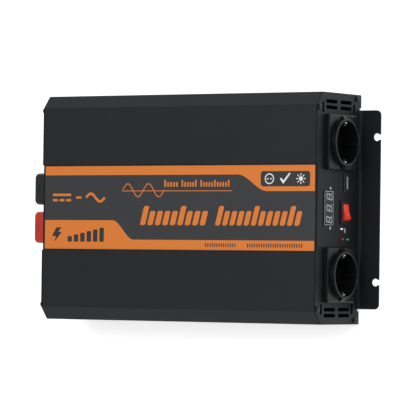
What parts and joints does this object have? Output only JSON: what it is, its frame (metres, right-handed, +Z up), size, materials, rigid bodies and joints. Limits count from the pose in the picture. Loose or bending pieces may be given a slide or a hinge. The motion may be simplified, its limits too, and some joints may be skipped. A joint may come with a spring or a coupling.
{
  "type": "power inverter",
  "caption": "Flat extruded-case power inverter: recessed round sockets, rocker switch, display and port at one end, fans and capped cable terminals at the other, slotted mounting flanges.",
  "frame": {"origin": "centre of the case's flat underside", "axes": "+X towards the socket end, +Z up out of the label face"},
  "size_m": [0.3508, 0.21, 0.0785],
  "materials": {
    "case_coat": "matt anodised",
    "panel_coat": "satin powder coat",
    "label": "printed film",
    "black_screw": "black zinc",
    "black_plastic": "fine moulded",
    "socket_plastic": "semi-gloss moulded",
    "red_plastic": "moulded",
    "white_plastic": "moulded",
    "component_plastic": "moulded",
    "fuse_plastic": "translucent moulded",
    "display_face": "smooth",
    "red_lens": "clear tinted",
    "green_lens": "clear tinted",
    "brass": "turned",
    "copper": "drawn",
    "bright_steel": "nickel plated",
    "plain_steel": "rolled",
    "circuit_board": "solder mask",
    "pad": "silicone",
    "ferrite": "sintered",
    "tape": "wound tape",
    "can_sleeve": "shrink sleeve",
    "lead_sleeve": "insulation",
    "black_cover": "soft moulded",
    "red_cover": "soft moulded"
  },
  "bodies": {
    "case": {"base_plate": "case_coat", "base_screws": "black_screw", "board_screws": "bright_steel", "board_spacers": "brass", "bus_bars": "copper", "choke_core": "ferrite", "choke_winding": "copper", "clamp_bars": "plain_steel", "clamp_screws": "black_screw", "control_board": "circuit_board", "display_bezel": "black_plastic", "display_module": "display_face", "display_screws": "bright_steel", "earth_nuts": "bright_steel", "earth_screw": "bright_steel", "fan_guards": "bright_steel", "fan_screws": "black_screw", "front_board": "circuit_board", "front_panel": "panel_coat", "front_panel_screws": "black_screw", "fuses": "fuse_plastic", "green_lamp": "green_lens", "input_capacitors": "can_sleeve", "label_plate": "label", "lower_fan_frame": "black_plastic", "lower_socket_back": "socket_plastic", "lower_socket_contacts": "brass", "lower_socket_earth_clip": "bright_steel", "lower_socket_housing": "socket_plastic", "main_board": "circuit_board", "negative_terminal": "brass", "output_capacitors": "can_sleeve", "positive_terminal": "brass", "rear_panel": "panel_coat", "rear_panel_screws": "black_screw", "red_lamp": "red_lens", "socket_leads": "lead_sleeve", "standoffs": "brass", "switch_body": "black_plastic", "switch_tabs": "brass", "terminal_insulator": "black_plastic", "terminal_screws": "black_screw", "thermal_pads": "pad", "top_shell": "case_coat", "transformer_cores": "ferrite", "transformer_windings": "tape", "transistors": "component_plastic", "upper_fan_frame": "black_plastic", "upper_socket_back": "socket_plastic", "upper_socket_contacts": "brass", "upper_socket_earth_clip": "bright_steel", "upper_socket_housing": "socket_plastic", "usb_contacts": "brass", "usb_shell": "bright_steel", "usb_tongue": "white_plastic"},
    "rocker": {"switch_rocker": "red_plastic"},
    "upper_fan": {"upper_fan_rotor": "black_plastic"},
    "lower_fan": {"lower_fan_rotor": "black_plastic"},
    "positive_cover": {"positive_terminal_cover": "red_cover"},
    "negative_cover": {"negative_terminal_cover": "black_cover"}
  },
  "joints": [
    {"name": "rocker_tilt", "type": "hinge", "parent": "case", "child": "rocker", "pos_m": [0.1495, -0.0032, 0.029], "axis": [0, 0, -1], "range_deg": [0, 28]},
    {"name": "upper_fan_spin", "type": "hinge", "parent": "case", "child": "upper_fan", "pos_m": [-0.136, 0.067, 0.039], "axis": [1, 0, 0], "continuous": true},
    {"name": "lower_fan_spin", "type": "hinge", "parent": "case", "child": "lower_fan", "pos_m": [-0.136, -0.067, 0.039], "axis": [1, 0, 0], "continuous": true},
    {"name": "positive_cover_pull", "type": "slide", "parent": "case", "child": "positive_cover", "axis": [-1, 0, 0], "range_m": [0, 0.04]},
    {"name": "negative_cover_pull", "type": "slide", "parent": "case", "child": "negative_cover", "axis": [-1, 0, 0], "range_m": [0, 0.04]}
  ]
}
